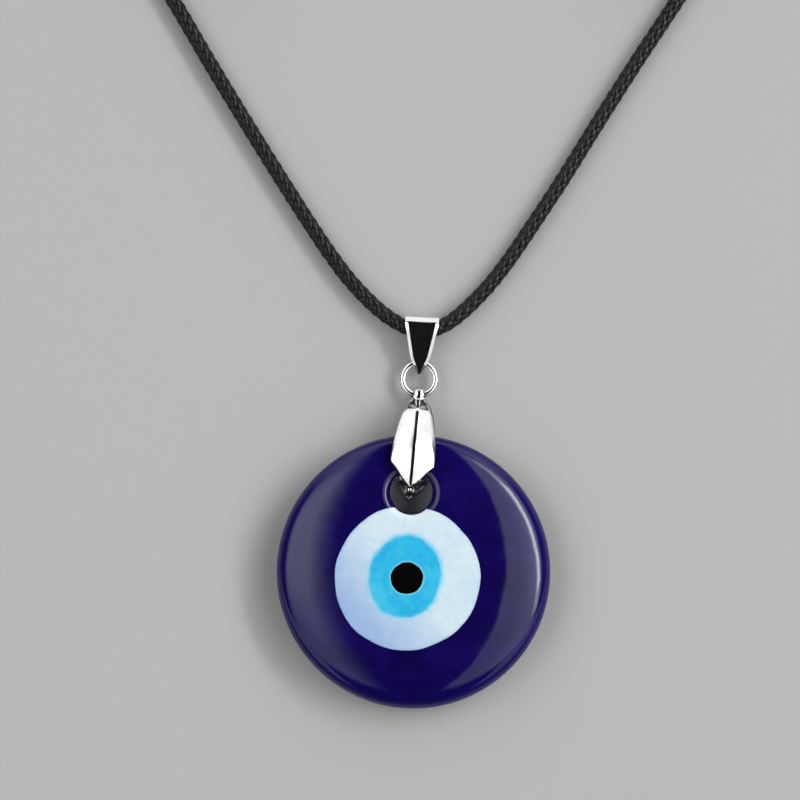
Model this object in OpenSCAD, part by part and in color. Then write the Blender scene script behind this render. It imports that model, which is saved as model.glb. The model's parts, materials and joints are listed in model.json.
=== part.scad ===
// Glass eye pendant on a braided cord necklace, lying flat, face up.
// +Z is up, off the glass. +Y runs from the glass towards the bail.
// Origin: centre of the glass disc's flat back, on the surface it rests on.

/* [Glass disc] */
// Diameter of the glass disc
disc_d = 30; // [29.5:0.1:30.5]
// Height of the front dome's top above the flat back
disc_t = 5.9; // [5.6:0.1:6.1]
// Height of the disc's widest line above the flat back
disc_equator = 2.7; // [2.6:0.05:2.8]
// Diameter of the flat spot on the back
flat_d = 10; // [9:0.5:10]
// Diameter of the hanging hole
hole_d = 4.6; // [4.4:0.1:4.8]
// Radius of the rounded mouth on each side of the hole
hole_round = 0.9; // [0.6:0.1:1]

/* [Eye] */
// Diameter of the white glass drop
white_d = 16; // [15:0.1:16.5]
// Diameter of the pale blue glass drop
iris_d = 8.2; // [7:0.1:9]
// Diameter of the black glass drop
pupil_d = 3.7; // [3:0.1:4.5]
// Depth of the white drop below the dome
white_depth = 1.1; // [0.8:0.1:1.3]

/* [Clip] */
// Half of the leaf's greatest width
leaf_half = 2.4; // [2:0.1:2.5]
// Height of the ridge above the leaf's edges
leaf_ridge = 0.55; // [0.4:0.05:0.6]
// Thickness of the leaf's sheet
leaf_t = 0.28; // [0.2:0.02:0.3]
// Diameter of the two pegs that hold the glass
peg_d = 0.76; // [0.6:0.02:0.9]

/* [Ring and bail] */
// Outer diameter of the jump ring
ring_od = 4.3; // [4.2:0.05:4.4]
// Wire diameter of the jump ring
ring_wire = 0.72; // [0.65:0.01:0.75]
// Width of the bail across its rolled top
bail_w = 3.7; // [3.4:0.1:4]
// Thickness of the bail's sheet
bail_t = 0.25; // [0.2:0.01:0.3]
// Inner radius of the bail's rolled top
bail_r = 1.16; // [1.14:0.01:1.2]

/* [Cord] */
// Diameter of the braided cord
cord_d = 1.7; // [1.6:0.02:1.72]

/* [Clasp and chain] */
// Wire diameter of the small rings at the cord's ends
end_wire = 0.6; // [0.5:0.02:0.62]
// Number of links in the extender chain
links = 11; // [6:1:11]
// Wire diameter of the chain links
link_wire = 0.6; // [0.5:0.02:0.62]

/* [Hidden] */
$fn = 64;
eps = 0.01;
disc_r = disc_d/2;

// ---- places, in the disc's frame ----
eye_c   = [-0.64, -0.5];          // centre of the white drop
iris_c  = [-0.85, -0.35];         // centre of the pale blue drop
pupil_c = [-0.66, -0.57];         // centre of the black drop
hole_c  = [-0.25, 8.76];          // centre of the hanging hole
link_z  = 1.2;                    // height of the jump ring
clip_p  = [0.62, 19.36, link_z];  // middle of the ring's wire inside the clip's neck
clip_lean = -5.7;
ring_c  = [0.62, 21.15, link_z];  // centre of the jump ring
ring_r  = (ring_od - ring_wire)/2;
bail_p  = [0.9, 26.62, 1.5];       // middle of the cord's seat in the bail
bail_lean = -3;
cord_lie = cord_d/2 + 0.02;       // height of the cord's middle where it lies on the surface

// ---- small helpers ----
function lerp(a, b, t) = a + (b - a)*t;
function smooth(t) = t*t*(3 - 2*t);
// a point t along a smooth curve through p1 and p2
function catmull(p0, p1, p2, p3, t) =
    0.5*((2*p1) + (p2 - p0)*t + (2*p0 - 5*p1 + 4*p2 - p3)*t*t + (3*p1 - p0 - 3*p2 + p3)*t*t*t);
function at(pts, i) = pts[max(0, min(len(pts) - 1, i))];
function curve(pts, steps) =
    [for (i = [0:len(pts) - 2]) for (k = [0:steps - 1])
        catmull(at(pts, i - 1), pts[i], pts[i + 1], at(pts, i + 2), k/steps), pts[len(pts) - 1]];
function unit(v) = v/norm(v);
function tangent(p, i) = unit(at(p, i + 1) - at(p, i - 1));

// a closed tube of n sides along the points of p
module tube(p, d, n = 8) {
    rings = [for (i = [0:len(p) - 1])
        let (t = tangent(p, i), s = unit(cross([0, 0, 1], t)), u = cross(t, s))
        for (k = [0:n - 1]) p[i] + d/2*(cos(360*(k + 0.5)/n)*s + sin(360*(k + 0.5)/n)*u)];
    m = len(p);
    polyhedron(rings, concat(
        [[for (k = [0:n - 1]) k]],
        [[for (k = [0:n - 1]) (m - 1)*n + n - 1 - k]],
        [for (i = [0:m - 2]) for (k = [0:n - 1])
            [(i + 1)*n + k, (i + 1)*n + (k + 1)%n, i*n + (k + 1)%n, i*n + k]]), convexity = 8);
}

// a round wire ring in the XY plane
module wire_ring(od, wire) {
    rotate_extrude() translate([(od - wire)/2, 0]) circle(d = wire, $fn = 32);
}

// ---- glass ----
// half profile of the disc: a domed front, a rounded rim and a flatter back with a flat spot
function front_z(r) = disc_equator + (disc_t - disc_equator)*pow(max(0, 1 - pow(r/disc_r, 2.4)), 1/2.4);
function back_z(r) = r <= flat_d/2 ? 0 :
    disc_equator*(1 - pow(max(0, 1 - (r - flat_d/2)/(disc_r - flat_d/2)), 0.6));
// stations that close up towards the rim
function rim_r(r0, i, n) = r0 + (disc_r - r0)*sin(90*i/n);
front_n = 26;
back_n = 18;
profile = concat(
    [[0, 0]],
    [for (i = [0:back_n]) let (r = rim_r(flat_d/2, i, back_n)) [r, back_z(r)]],
    [for (i = [front_n - 1:-1:0]) let (r = rim_r(0, i, front_n)) [r, front_z(r)]]);

module dome() rotate_extrude($fn = 128) polygon(profile);

// cutter for the hole, with a rounded mouth at each side
module hole_cut() {
    r = hole_d/2;
    q = hole_round;
    zb = 0.45;
    zf = front_z(8.8);
    translate([hole_c[0], hole_c[1], 0]) rotate_extrude($fn = 96) polygon(concat(
        [[0, -2], [r + q + 0.5, -2], [r + q + 0.5, zb]],
        [for (a = [0:15:90]) [r + q - q*sin(a), zb + q*(1 - cos(a))]],
        [for (a = [90:-15:0]) [r + q - q*sin(a), zf - q*(1 - cos(a))]],
        [[r + q + 0.5, zf], [r + q + 0.5, 8], [0, 8]]));
}
module drop_cut(c, d, depth) translate([c[0], c[1], disc_t - depth]) cylinder(d = d, h = depth + 2, $fn = 96);

module glass_disc() color([0.05, 0.03, 0.42]) difference() {
    dome();
    drop_cut(eye_c, white_d, white_depth);
    hole_cut();
}
module eye_white() color([0.80, 0.90, 0.96]) difference() {
    intersection() { dome(); drop_cut(eye_c, white_d, white_depth); }
    drop_cut(iris_c, iris_d, white_depth*0.7);
    hole_cut();
}
module eye_iris() color([0.20, 0.75, 0.93]) difference() {
    intersection() { dome(); drop_cut(iris_c, iris_d, white_depth*0.7); }
    drop_cut(pupil_c, pupil_d, white_depth*0.5);
}
module eye_pupil() color([0.03, 0.03, 0.035])
    intersection() { dome(); drop_cut(pupil_c, pupil_d, white_depth*0.5); }

// ---- pinch clip ----
// Its own frame: the ring's wire at the origin, the leaves run towards -Y, +Z is the front.
neck_in = ring_wire/2 + 0.22;
neck_t = 0.3;
neck_half = 0.54;
neck_r = neck_in + neck_t;
// crest of each leaf seen from the side: distance from the wire, and height above it
front_crest = [[-0.05, neck_r], [0.35, 1.05], [1.15, 1.9], [1.6, 2.36], [2.2, 2.76], [2.9, 3.22], [4.5, 4.26], [6.0, 4.97], [7.6, 5.3], [9.0, 5.13], [10.05, 4.85]];
rear_crest  = [[-0.05, -neck_r], [1.6, -0.98], [3.4, -1.12], [5.4, -1.14], [7.4, -1.14], [9.2, -1.14], [10.6, -1.1], [11.6, -0.98]];
// half width of a leaf, u from 0 at the neck to 1 at the tip
function leaf_w(u) = u < 0.74
    ? lerp(neck_half, leaf_half, pow(sin(90*u/0.74), 0.85))
    : lerp(leaf_half, 0.12, pow((u - 0.74)/0.26, 1.12));
function leaf_h(u) = u < 0.74
    ? leaf_ridge*smooth(min(1, u/0.35))
    : leaf_ridge*(1 - 0.8*pow((u - 0.74)/0.26, 1.2));
// one leaf as a folded sheet with a ridge; side is 1 for the front and -1 for the rear
module leaf(crest, side) {
    pts = curve([for (c = crest) [0, -c[0], c[1]]], 3);
    n = len(pts);
    sec = [for (i = [0:n - 1])
        let (u = i/(n - 1), t = tangent(pts, i), o = side*unit(cross([1, 0, 0], t))*(t[1] < 0 ? -1 : 1),
             w = leaf_w(u), h = leaf_h(u)*(side > 0 ? 1 : 0.5))
        each [pts[i], pts[i] + [w, 0, 0] - o*h, pts[i] + [w, 0, 0] - o*(h + leaf_t),
              pts[i] - o*leaf_t, pts[i] - [w, 0, 0] - o*(h + leaf_t), pts[i] - [w, 0, 0] - o*h]];
    caps = side > 0 ? [[5, 4, 3, 0], [3, 2, 1, 0]] : [[0, 3, 4, 5], [0, 1, 2, 3]];
    faces = concat(caps, [for (c = caps) [for (k = [len(c) - 1:-1:0]) c[k] + (n - 1)*6]],
        [for (i = [0:n - 2]) for (k = [0:5])
            let (a = i*6 + k, b = i*6 + (k + 1)%6, c = b + 6, d = a + 6) side > 0 ? [a, b, c, d] : [d, c, b, a]]);
    polyhedron(sec, faces, convexity = 6);
}
module at_clip() translate(clip_p) rotate([0, 0, clip_lean]) children();
module pinch_clip() color([0.86, 0.86, 0.87]) at_clip() union() {
    // neck, rolled round the ring's wire
    rotate([0, 90, 0]) difference() {
        cylinder(r = neck_r, h = 2*neck_half, center = true);
        cylinder(r = neck_in, h = 4, center = true);
        translate([-3, -6, -3]) cube([6, 6, 6]);
    }
    leaf(front_crest, 1);
    leaf(rear_crest, -1);
}
front_peg_v = 9.2;
rear_peg_v = 10.4;
module front_peg() color([0.82, 0.82, 0.83]) at_clip()
    translate([0, -front_peg_v, 2.2]) cylinder(d = peg_d, h = 2.62, $fn = 48);
module rear_peg() color([0.82, 0.82, 0.83]) at_clip()
    translate([0, -rear_peg_v, -0.84]) cylinder(d = peg_d, h = 2.3, $fn = 48);

// ---- jump ring ----
module jump_ring() color([0.88, 0.88, 0.89]) translate(ring_c) difference() {
    wire_ring(ring_od, ring_wire);
    // the cut where the ring is opened
    rotate([0, 0, 24]) translate([0, -0.03, -1]) cube([4, 0.06, 2]);
}

// ---- bail ----
// side outline: two circles joined by straight sides
module tangent_pair(a, r1, b, r2) {
    ra = r1 - 0.006;
    rb = r2 - 0.006;
    d = norm(b - a);
    base = atan2(b[1] - a[1], b[0] - a[0]);
    off = acos((ra - rb)/d);
    polygon([for (s = [1, -1]) each (s > 0
        ? [a + ra*[cos(base + off), sin(base + off)], b + rb*[cos(base + off), sin(base + off)]]
        : [b + rb*[cos(base - off), sin(base - off)], a + ra*[cos(base - off), sin(base - off)]])]);
}
bail_drop = 3.86;         // from the cord's seat down to the seat of the ring's wire
bail_tip = 5.1;           // from the cord's seat down to the tip
bail_out = bail_r + bail_t;
seat_in = ring_wire/2 + 0.1;
// the roll and the straight sides down to the ring's wire, as a solid bar across the bail
module bail_bar(roll, seat, h) {
    low = [-bail_drop, link_z - bail_p[2]];
    rotate([90, 0, 90]) {
        translate([0, 0, -h/2]) cylinder(r = roll, h = h, $fn = 96);
        linear_extrude(height = h, center = true) tangent_pair([0, 0], roll, low, seat);
        translate([low[0], low[1], -h/2]) cylinder(r = seat, h = h);
    }
}
module bail_nose(h) {
    low = [-bail_drop, link_z - bail_p[2]];
    rotate([90, 0, 90]) {
        linear_extrude(height = h, center = true) tangent_pair(low, seat_in + bail_t, [-bail_tip + 0.3, low[1]], 0.3);
        translate([-bail_tip + 0.3, low[1], -h/2]) cylinder(r = 0.3, h = h);
    }
}
module bail() color([0.80, 0.80, 0.81]) translate(bail_p) rotate([0, 0, bail_lean]) intersection() {
    difference() {
        union() {
            bail_bar(bail_out, seat_in + bail_t, bail_w + 2);
            bail_nose(bail_w + 2);
        }
        bail_bar(bail_r, seat_in, bail_w + 4);
    }
    translate([0, 0, -4]) linear_extrude(height = 8)
        polygon([[-bail_w/2, 3], [-bail_w/2, 0.6], [-1.1, -3.1], [-0.95, -3.5], [-0.62, -4.2], [-0.1, -bail_tip],
            [0.1, -bail_tip], [0.62, -4.2], [0.95, -3.5], [1.1, -3.1], [bail_w/2, 0.6], [bail_w/2, 3]]);
}

// ---- cord ----
// route of the part that isn't coiled, from the left coil through the bail to the right coil
route = [
    [-32.2, 71.8, 0.9], [-30.2, 68.7, 0.9], [-26.3, 62.6, 0.87], [-22.5, 56.1, 0.87], [-18.5, 49.5, 0.87], [-14.4, 42.9, 0.87],
    [-11.2, 37.9, 0.87], [-8.9, 34.5, 0.87], [-7.0, 32.0, 0.9], [-5.2, 30.05, 1.0], [-3.4, 28.4, 1.18], [-2.0, 27.42, 1.36], [-0.95, 26.88, 1.46],
    [0.0, 26.55, 1.5], [0.9, 26.43, 1.5], [1.8, 26.48, 1.5], [2.75, 26.72, 1.46],
    [3.8, 27.24, 1.36], [5.2, 28.3, 1.18], [7.0, 30.0, 1.0], [8.8, 32.0, 0.9], [10.7, 34.5, 0.87], [13.0, 37.9, 0.87],
    [16.3, 42.9, 0.87], [20.4, 49.5, 0.87], [24.6, 56.1, 0.87], [28.9, 62.6, 0.87], [32.8, 68.7, 0.9], [34.8, 71.8, 0.9]];
coil_l = [-23.4, 77.3];
coil_r = [25.9, 77.3];
coil_in = 7.95;
coil_out = 11.5;
coil_h = 3.3;
// the tails, from each coil to its end cap
tail_l = [[-23.4, 86.9, 2.5], [-20.8, 87.0, 2.6], [-18.0, 87.2, 2.62], [-15.4, 87.4, 2.25], [-13.2, 87.5, 1.7], [-11.4, 87.5, 1.45]];
tail_r = [[25.9, 86.9, 2.5], [23.2, 87.3, 2.6], [20.6, 88.4, 2.55], [18.3, 89.8, 2.15], [16.2, 91.2, 1.75], [14.0, 92.4, 1.55], [11.8, 92.9, 1.45], [10.2, 92.9, 1.45]];
module cord_run() color([0.03, 0.03, 0.03]) tube(concat([for (i = [0:7]) route[i]],
    curve([for (i = [8:20]) route[i]], 2), [for (i = [21:28]) route[i]]), cord_d);
module coil(c) translate([c[0], c[1], 0]) rotate_extrude($fn = 96)
    polygon([[coil_in, 0.02], [coil_out, 0.02], [coil_out, 1.8], [coil_out - 0.9, coil_h], [coil_in + 0.9, coil_h], [coil_in, 1.8]]);
module cord_coil_left() color([0.03, 0.03, 0.03]) coil(coil_l);
module cord_coil_right() color([0.03, 0.03, 0.03]) coil(coil_r);
module cord_tail_left() color([0.03, 0.03, 0.03]) tube(tail_l, cord_d);
module cord_tail_right() color([0.03, 0.03, 0.03]) tube(tail_r, cord_d);

// ---- end caps: a barrel glued on the cord, closed by a flat eye ----
cap_len = 6;
cap_od = 2.7;
cap_z = 1.45;
cap_eye = 1.35;            // from the barrel's end to the eye's hole
end_od = 3.5;              // small rings at the ends
end_r = (end_od - end_wire)/2;
eye_r = 0.55;              // hole for a small ring
cap_l = [-11.4, 87.5];     // mouth of the left cap; it points to +X
cap_r = [10.2, 92.9];      // mouth of the right cap; it points to -X
module end_cap() {         // the mouth at the origin, pointing to +X
    difference() {
        union() {
            rotate([0, 90, 0]) cylinder(d = cap_od, h = cap_len);
            translate([cap_len - 0.3, -0.7, -0.3]) cube([cap_eye + 0.3, 1.4, 0.6]);
            translate([cap_len + cap_eye, 0, -0.3]) cylinder(r = 1.05, h = 0.6);
        }
        translate([-1, 0, 0]) rotate([0, 90, 0]) cylinder(d = cord_d + 0.06, h = cap_len - 1.2 + 1);
        translate([cap_len + cap_eye, 0, -1]) cylinder(r = eye_r, h = 2, $fn = 48);
    }
}
module end_cap_left() color([0.80, 0.80, 0.81]) translate([cap_l[0], cap_l[1], cap_z]) end_cap();
module end_cap_right() color([0.80, 0.80, 0.81]) translate([cap_r[0], cap_r[1], cap_z]) mirror([1, 0, 0]) rotate([45, 0, 0]) end_cap();

// ---- the small rings at the ends: the left one stands on edge, the right one leans ----
clasp_ring_c = [cap_l[0] + cap_len + cap_eye + end_r, cap_l[1], 1.78];
chain_ring_c = [cap_r[0] - cap_len - cap_eye - end_r, cap_r[1], 1.37];
module clasp_ring() color([0.88, 0.88, 0.89]) translate(clasp_ring_c) rotate([90, 0, 0]) wire_ring(end_od, end_wire);
module chain_ring() color([0.88, 0.88, 0.89]) translate(chain_ring_c) rotate([-45, 0, 0]) wire_ring(end_od, end_wire);

// ---- lobster clasp ----
// Its own frame: the tail eye's hole at the origin, the hook towards +X, thickness along Z.
clasp_z = 1.5;
clasp_t = 2.4;
slot_t = 1.5;             // gap inside the body for the lever and its spring
pivot = [3.6, 0.35];
rivet_d = 0.8;
module at_clasp() translate([clasp_ring_c[0] + end_r, clasp_ring_c[1], clasp_z]) children();
module clasp_outline() {
    difference() {
        union() {
            translate([8.5, 0]) circle(r = 3.1, $fn = 96);
            tangent_pair([8.5, 0], 3.1, [3.4, 0], 1.9);
            translate([3.4, 0]) circle(r = 1.9);
        }
        // the eye of the hook
        translate([8.7, 0.05]) circle(r = 1.75, $fn = 96);
        tangent_pair([8.7, 0.05], 1.75, [6.6, 0.35], 1.0);
        translate([6.6, 0.35]) circle(r = 1.0);
        // the way in, which the lever closes
        polygon([[5.7, 1.2], [5.7, 4], [9.9, 4], [9.4, 1.4], [8.6, 0.6], [6.5, 0.4]]);
    }
}
module clasp_body() color([0.82, 0.82, 0.83]) at_clasp() difference() {
    union() {
        translate([0, 0, -clasp_t/2]) linear_extrude(height = clasp_t) clasp_outline();
        translate([0.6, -0.7, -0.4]) cube([1.4, 1.4, 0.8]);
        translate([0, 0, -0.4]) cylinder(r = 1.1, h = 0.8);
    }
    translate([0, 0, -2]) cylinder(r = eye_r, h = 4, $fn = 48);
    // slot for the lever, open to the thumb side and to the hook
    translate([pivot[0], pivot[1], -slot_t/2]) linear_extrude(height = slot_t) polygon([[-1.5, -1.35], [-1.5, 4], [3.2, 4], [3.2, -0.9], [1.2, -1.35]]);
    translate([pivot[0], pivot[1], -3]) cylinder(d = rivet_d, h = 6, $fn = 48);
    // notch that takes the lever's tip
    translate([9.2, 0.2, -0.68]) cube([1.3, 4, 1.36]);
}
module lever_outline() {
    difference() {
        union() {
            circle(r = 1.2);
            // arm that closes the hook
            polygon([[0.2, 1.15], [1.0, 0.45], [3.2, 1.0], [6.3, 1.25], [6.5, 1.55], [6.35, 2.15], [4.6, 2.35], [2.6, 2.3], [1.2, 2.25]]);
            // thumb piece
            polygon([[-0.7, 0.9], [0.9, 0.9], [1.5, 2.3], [1.35, 3.1], [0.75, 3.45], [0.15, 3.3], [-0.25, 2.4]]);
        }
        circle(d = rivet_d + 0.08, $fn = 48);
    }
}
lever_t = 0.8;
module clasp_lever() color([0.82, 0.82, 0.83]) at_clasp()
    translate([pivot[0], pivot[1], -0.58]) linear_extrude(height = lever_t) lever_outline();
module clasp_rivet() color([0.75, 0.75, 0.76]) at_clasp() translate([pivot[0], pivot[1], -clasp_t/2]) cylinder(d = rivet_d, h = clasp_t, $fn = 48);
module clasp_spring() color([0.6, 0.6, 0.62]) at_clasp() translate([pivot[0], pivot[1], 0.4]) {
    wire_ring(1.5, 0.18);
    translate([0, 0, 0.2]) wire_ring(1.5, 0.18);
}

// ---- extender chain: oval links, turned a quarter each time, in a gentle wave ----
link_w = 2.6;              // width over a link
link_len = 3.2;            // from wire middle to wire middle, the long way
chain_gap = 0.1;           // play between neighbouring links
chain_z = 1.04;            // height of the chain's middle where it lies on the surface
chain_step = link_len - link_wire - chain_gap;
chain_start = [chain_ring_c[0] - end_r + link_wire + chain_gap - link_len/2, chain_ring_c[1], chain_z];
function heading(i) = 180 + 7*sin(34*i);
// middle of link i: each link starts where the one before ends
function link_at(i) = i <= 0 ? chain_start :
    link_at(i - 1) + chain_step/2*[cos(heading(i - 1)) + cos(heading(i)), sin(heading(i - 1)) + sin(heading(i)), 0];
function drop_z(i) = max(0, 0.28 - 0.09*i);
module oval_link() {       // long way along X, flat in XY, centred
    r = (link_w - link_wire)/2;
    s = link_len/2 - r;
    for (q = [0, 180]) rotate([0, 0, q]) {
        translate([s, 0, 0]) rotate([0, 0, -90]) rotate_extrude(angle = 180) translate([r, 0]) circle(d = link_wire, $fn = 32);
        translate([-s, r, 0]) rotate([0, 90, 0]) cylinder(d = link_wire, h = 2*s, $fn = 32);
    }
}
module extender_chain() color([0.86, 0.86, 0.87]) for (i = [0:links - 1])
    translate(link_at(i)) rotate([0, 0, heading(i)]) translate([0, 0, drop_z(i)]) rotate([i % 2 == 0 ? -45 : 45, 0, 0]) oval_link();
// small drop that ends the chain: an eye plate and a bead turned from one piece
drop_bead = 2;
module end_drop() color([0.86, 0.86, 0.87]) {
    i = links - 1;
    e = link_at(i) + (link_len/2 + 0.13)*[cos(heading(i)), sin(heading(i)), 0];
    translate([e[0], e[1], chain_z]) rotate([0, 0, heading(i)]) rotate([i % 2 == 0 ? 45 : -45, 0, 0]) {
        difference() {
            union() {
                translate([0, 0, -0.25]) cylinder(r = 0.95, h = 0.5);
                translate([0, -0.45, -0.25]) cube([1.6, 0.9, 0.5]);
            }
            translate([0, 0, -1]) cylinder(r = 0.5, h = 2, $fn = 48);
        }
        translate([2.1, 0, 0]) rotate([0, 90, 0]) rotate_extrude() intersection() {
            union() { circle(d = drop_bead, $fn = 64); translate([0, -1.3]) square([0.45, 1]); }
            translate([0, -3]) square([3, 6]);
        }
    }
}

glass_disc();
eye_white();
eye_iris();
eye_pupil();
pinch_clip();
front_peg();
rear_peg();
jump_ring();
bail();
cord_run();
cord_coil_left();
cord_coil_right();
cord_tail_left();
cord_tail_right();
end_cap_left();
end_cap_right();
clasp_ring();
chain_ring();
clasp_body();
clasp_lever();
clasp_rivet();
clasp_spring();
extender_chain();
end_drop();
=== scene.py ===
import json
import math

import bmesh
import bpy
import numpy as np
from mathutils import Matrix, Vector, noise

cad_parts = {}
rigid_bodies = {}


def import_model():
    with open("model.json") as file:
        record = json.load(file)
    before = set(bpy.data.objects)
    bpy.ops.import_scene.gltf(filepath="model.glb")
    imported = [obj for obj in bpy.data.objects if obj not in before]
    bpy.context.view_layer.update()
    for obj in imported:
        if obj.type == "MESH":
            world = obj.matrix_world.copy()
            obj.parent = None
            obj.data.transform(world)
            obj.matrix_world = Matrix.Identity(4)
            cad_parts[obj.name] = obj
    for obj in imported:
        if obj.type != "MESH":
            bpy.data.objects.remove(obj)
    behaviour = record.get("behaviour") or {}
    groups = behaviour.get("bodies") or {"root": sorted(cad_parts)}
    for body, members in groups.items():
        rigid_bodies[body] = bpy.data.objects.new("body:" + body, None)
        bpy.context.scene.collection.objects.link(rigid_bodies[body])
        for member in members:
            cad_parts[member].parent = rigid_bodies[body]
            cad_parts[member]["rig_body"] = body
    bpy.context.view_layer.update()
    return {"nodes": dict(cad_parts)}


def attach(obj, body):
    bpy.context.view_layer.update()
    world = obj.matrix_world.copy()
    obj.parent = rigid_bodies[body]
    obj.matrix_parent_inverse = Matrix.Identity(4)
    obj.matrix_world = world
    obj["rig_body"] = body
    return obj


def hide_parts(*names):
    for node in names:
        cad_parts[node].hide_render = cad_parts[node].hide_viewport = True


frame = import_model()
MM = 0.001

# ---------------------------------------------------------------- sizes repeated from the CAD source, in mm
DISC_R, DISC_T, EQUATOR, FLAT_R = 15.0, 5.9, 2.7, 5.0
HOLE = np.array([-0.25, 8.76])
HOLE_R, MOUTH, MOUTH_W = 2.3, 0.9, 1.15
CLIP = np.array([0.62, 19.36, 1.2])
CLIP_LEAN = math.radians(-5.7)
BAIL = np.array([0.9, 26.62, 1.5])
BAIL_LEAN = math.radians(-3.0)
CORD_D = 1.7
TAIL_L = [(-23.4, 86.9, 2.5), (-20.8, 87.0, 2.6), (-18.0, 87.2, 2.62), (-15.4, 87.4, 2.25), (-13.2, 87.5, 1.7), (-11.4, 87.5, 1.45)]
TAIL_R = [(25.9, 86.9, 2.5), (23.2, 87.3, 2.6), (20.6, 88.4, 2.55), (18.3, 89.8, 2.15), (16.2, 91.2, 1.75), (14.0, 92.4, 1.55), (11.8, 92.9, 1.45), (10.2, 92.9, 1.45)]
ROUTE = [
    (-30.2, 68.7, 0.9), (-28.2, 65.6, 0.88), (-26.3, 62.6, 0.87), (-22.5, 56.1, 0.87), (-18.5, 49.5, 0.87), (-14.4, 42.9, 0.87),
    (-11.2, 37.9, 0.87), (-8.9, 34.5, 0.87), (-7.0, 32.0, 0.9), (-5.2, 30.05, 1.0), (-3.4, 28.4, 1.18), (-2.0, 27.42, 1.36), (-0.95, 26.88, 1.46),
    (0.0, 26.55, 1.5), (0.9, 26.43, 1.5), (1.8, 26.48, 1.5), (2.75, 26.72, 1.46),
    (3.8, 27.24, 1.36), (5.2, 28.3, 1.18), (7.0, 30.0, 1.0), (8.8, 32.0, 0.9), (10.7, 34.5, 0.87), (13.0, 37.9, 0.87),
    (16.3, 42.9, 0.87), (20.4, 49.5, 0.87), (24.6, 56.1, 0.87), (28.9, 62.6, 0.87), (30.8, 65.6, 0.88), (32.8, 68.7, 0.9)]
COIL_L, COIL_R = (-23.4, 77.3), (25.9, 77.3)


# ---------------------------------------------------------------- camera, straight above, as in the photograph
def make_camera():
    wide, far = 87.6 * MM, 0.55
    cam = bpy.data.cameras.new("camera")
    cam.sensor_width = 36.0
    cam.lens = 36.0 * far / wide
    cam.clip_start, cam.clip_end = 0.01, 10
    ob = bpy.data.objects.new("camera", cam)
    ob.location = (-1.478 * MM, 18.83 * MM, far + 3 * MM)
    bpy.context.scene.collection.objects.link(ob)
    bpy.context.scene.camera = ob


make_camera()
bpy.context.scene.view_settings.view_transform = "Standard"


# ---------------------------------------------------------------- mesh helpers
def piece(name, verts, faces, body, mat, smooth=True, scale=MM):
    me = bpy.data.meshes.new(name)
    me.from_pydata([tuple(float(c) * scale for c in v) for v in verts], [], [tuple(int(i) for i in f) for f in faces])
    me.validate()
    if smooth:
        me.polygons.foreach_set("use_smooth", [True] * len(me.polygons))
    me.materials.append(mat)
    me.update()
    ob = bpy.data.objects.new(name, me)
    bpy.context.scene.collection.objects.link(ob)
    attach(ob, body)
    return ob


def grid_faces(nu, nv, wrap_u=True, wrap_v=True, start=0):
    """Quads over nu rows of nv points."""
    out = []
    for i in range(nu if wrap_u else nu - 1):
        a, b = i * nv, ((i + 1) % nu) * nv
        for k in range(nv if wrap_v else nv - 1):
            m = (k + 1) % nv
            out.append((start + a + k, start + a + m, start + b + m, start + b + k))
    return out


def outward(ob):
    bm = bmesh.new()
    bm.from_mesh(ob.data)
    bmesh.ops.recalc_face_normals(bm, faces=bm.faces)
    bm.to_mesh(ob.data)
    bm.free()
    ob.data.update()


def put_attribute(ob, name, values, kind="FLOAT"):
    a = ob.data.attributes.new(name, kind, "POINT")
    if kind == "FLOAT":
        a.data.foreach_set("value", np.asarray(values, np.float32).ravel())
    else:
        a.data.foreach_set("vector", np.asarray(values, np.float32).ravel())


def catmull(pts, step):
    """Dense points, about step apart, on a centripetal curve through pts."""
    p = np.asarray(pts, float)
    p = np.vstack([2 * p[0] - p[1], p, 2 * p[-1] - p[-2]])
    out = []
    for i in range(1, len(p) - 2):
        t = [0.0]
        for a in range(3):
            t.append(t[-1] + np.linalg.norm(p[i + a] - p[i + a - 1]) ** 0.5)
        n = max(2, int(np.linalg.norm(p[i + 1] - p[i]) / step))
        for k in range(n):
            x = t[1] + (t[2] - t[1]) * k / n
            a1 = ((t[1] - x) * p[i - 1] + (x - t[0]) * p[i]) / (t[1] - t[0])
            a2 = ((t[2] - x) * p[i] + (x - t[1]) * p[i + 1]) / (t[2] - t[1])
            a3 = ((t[3] - x) * p[i + 1] + (x - t[2]) * p[i + 2]) / (t[3] - t[2])
            b1 = ((t[2] - x) * a1 + (x - t[0]) * a2) / (t[2] - t[0])
            b2 = ((t[3] - x) * a2 + (x - t[1]) * a3) / (t[3] - t[1])
            out.append(((t[2] - x) * b1 + (x - t[1]) * b2) / (t[2] - t[1]))
    out.append(p[-2])
    return np.array(out)


def resample(p, step):
    seg = np.r_[0, np.cumsum(np.linalg.norm(np.diff(p, axis=0), axis=1))]
    n = max(2, int(round(seg[-1] / step)) + 1)
    s = np.linspace(0, seg[-1], n)
    return np.stack([np.interp(s, seg, p[:, k]) for k in range(3)], 1)


def smooth_line(p, rounds):
    p = p.copy()
    for _ in range(rounds):
        p[1:-1] = 0.25 * p[:-2] + 0.5 * p[1:-1] + 0.25 * p[2:]
    return p


# ---------------------------------------------------------------- materials
def material(name):
    m = bpy.data.materials.new(name)
    m.use_nodes = True
    nt = m.node_tree
    nt.nodes.clear()
    out = nt.nodes.new("ShaderNodeOutputMaterial")
    p = nt.nodes.new("ShaderNodeBsdfPrincipled")
    nt.links.new(p.outputs[0], out.inputs[0])
    return m, nt, p


def node(nt, kind, **values):
    n = nt.nodes.new(kind)
    for k, v in values.items():
        if k.startswith("_"):
            setattr(n, k[1:], v)
        else:
            n.inputs[k].default_value = v
    return n


def link(nt, a, b):
    nt.links.new(a, b)


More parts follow.
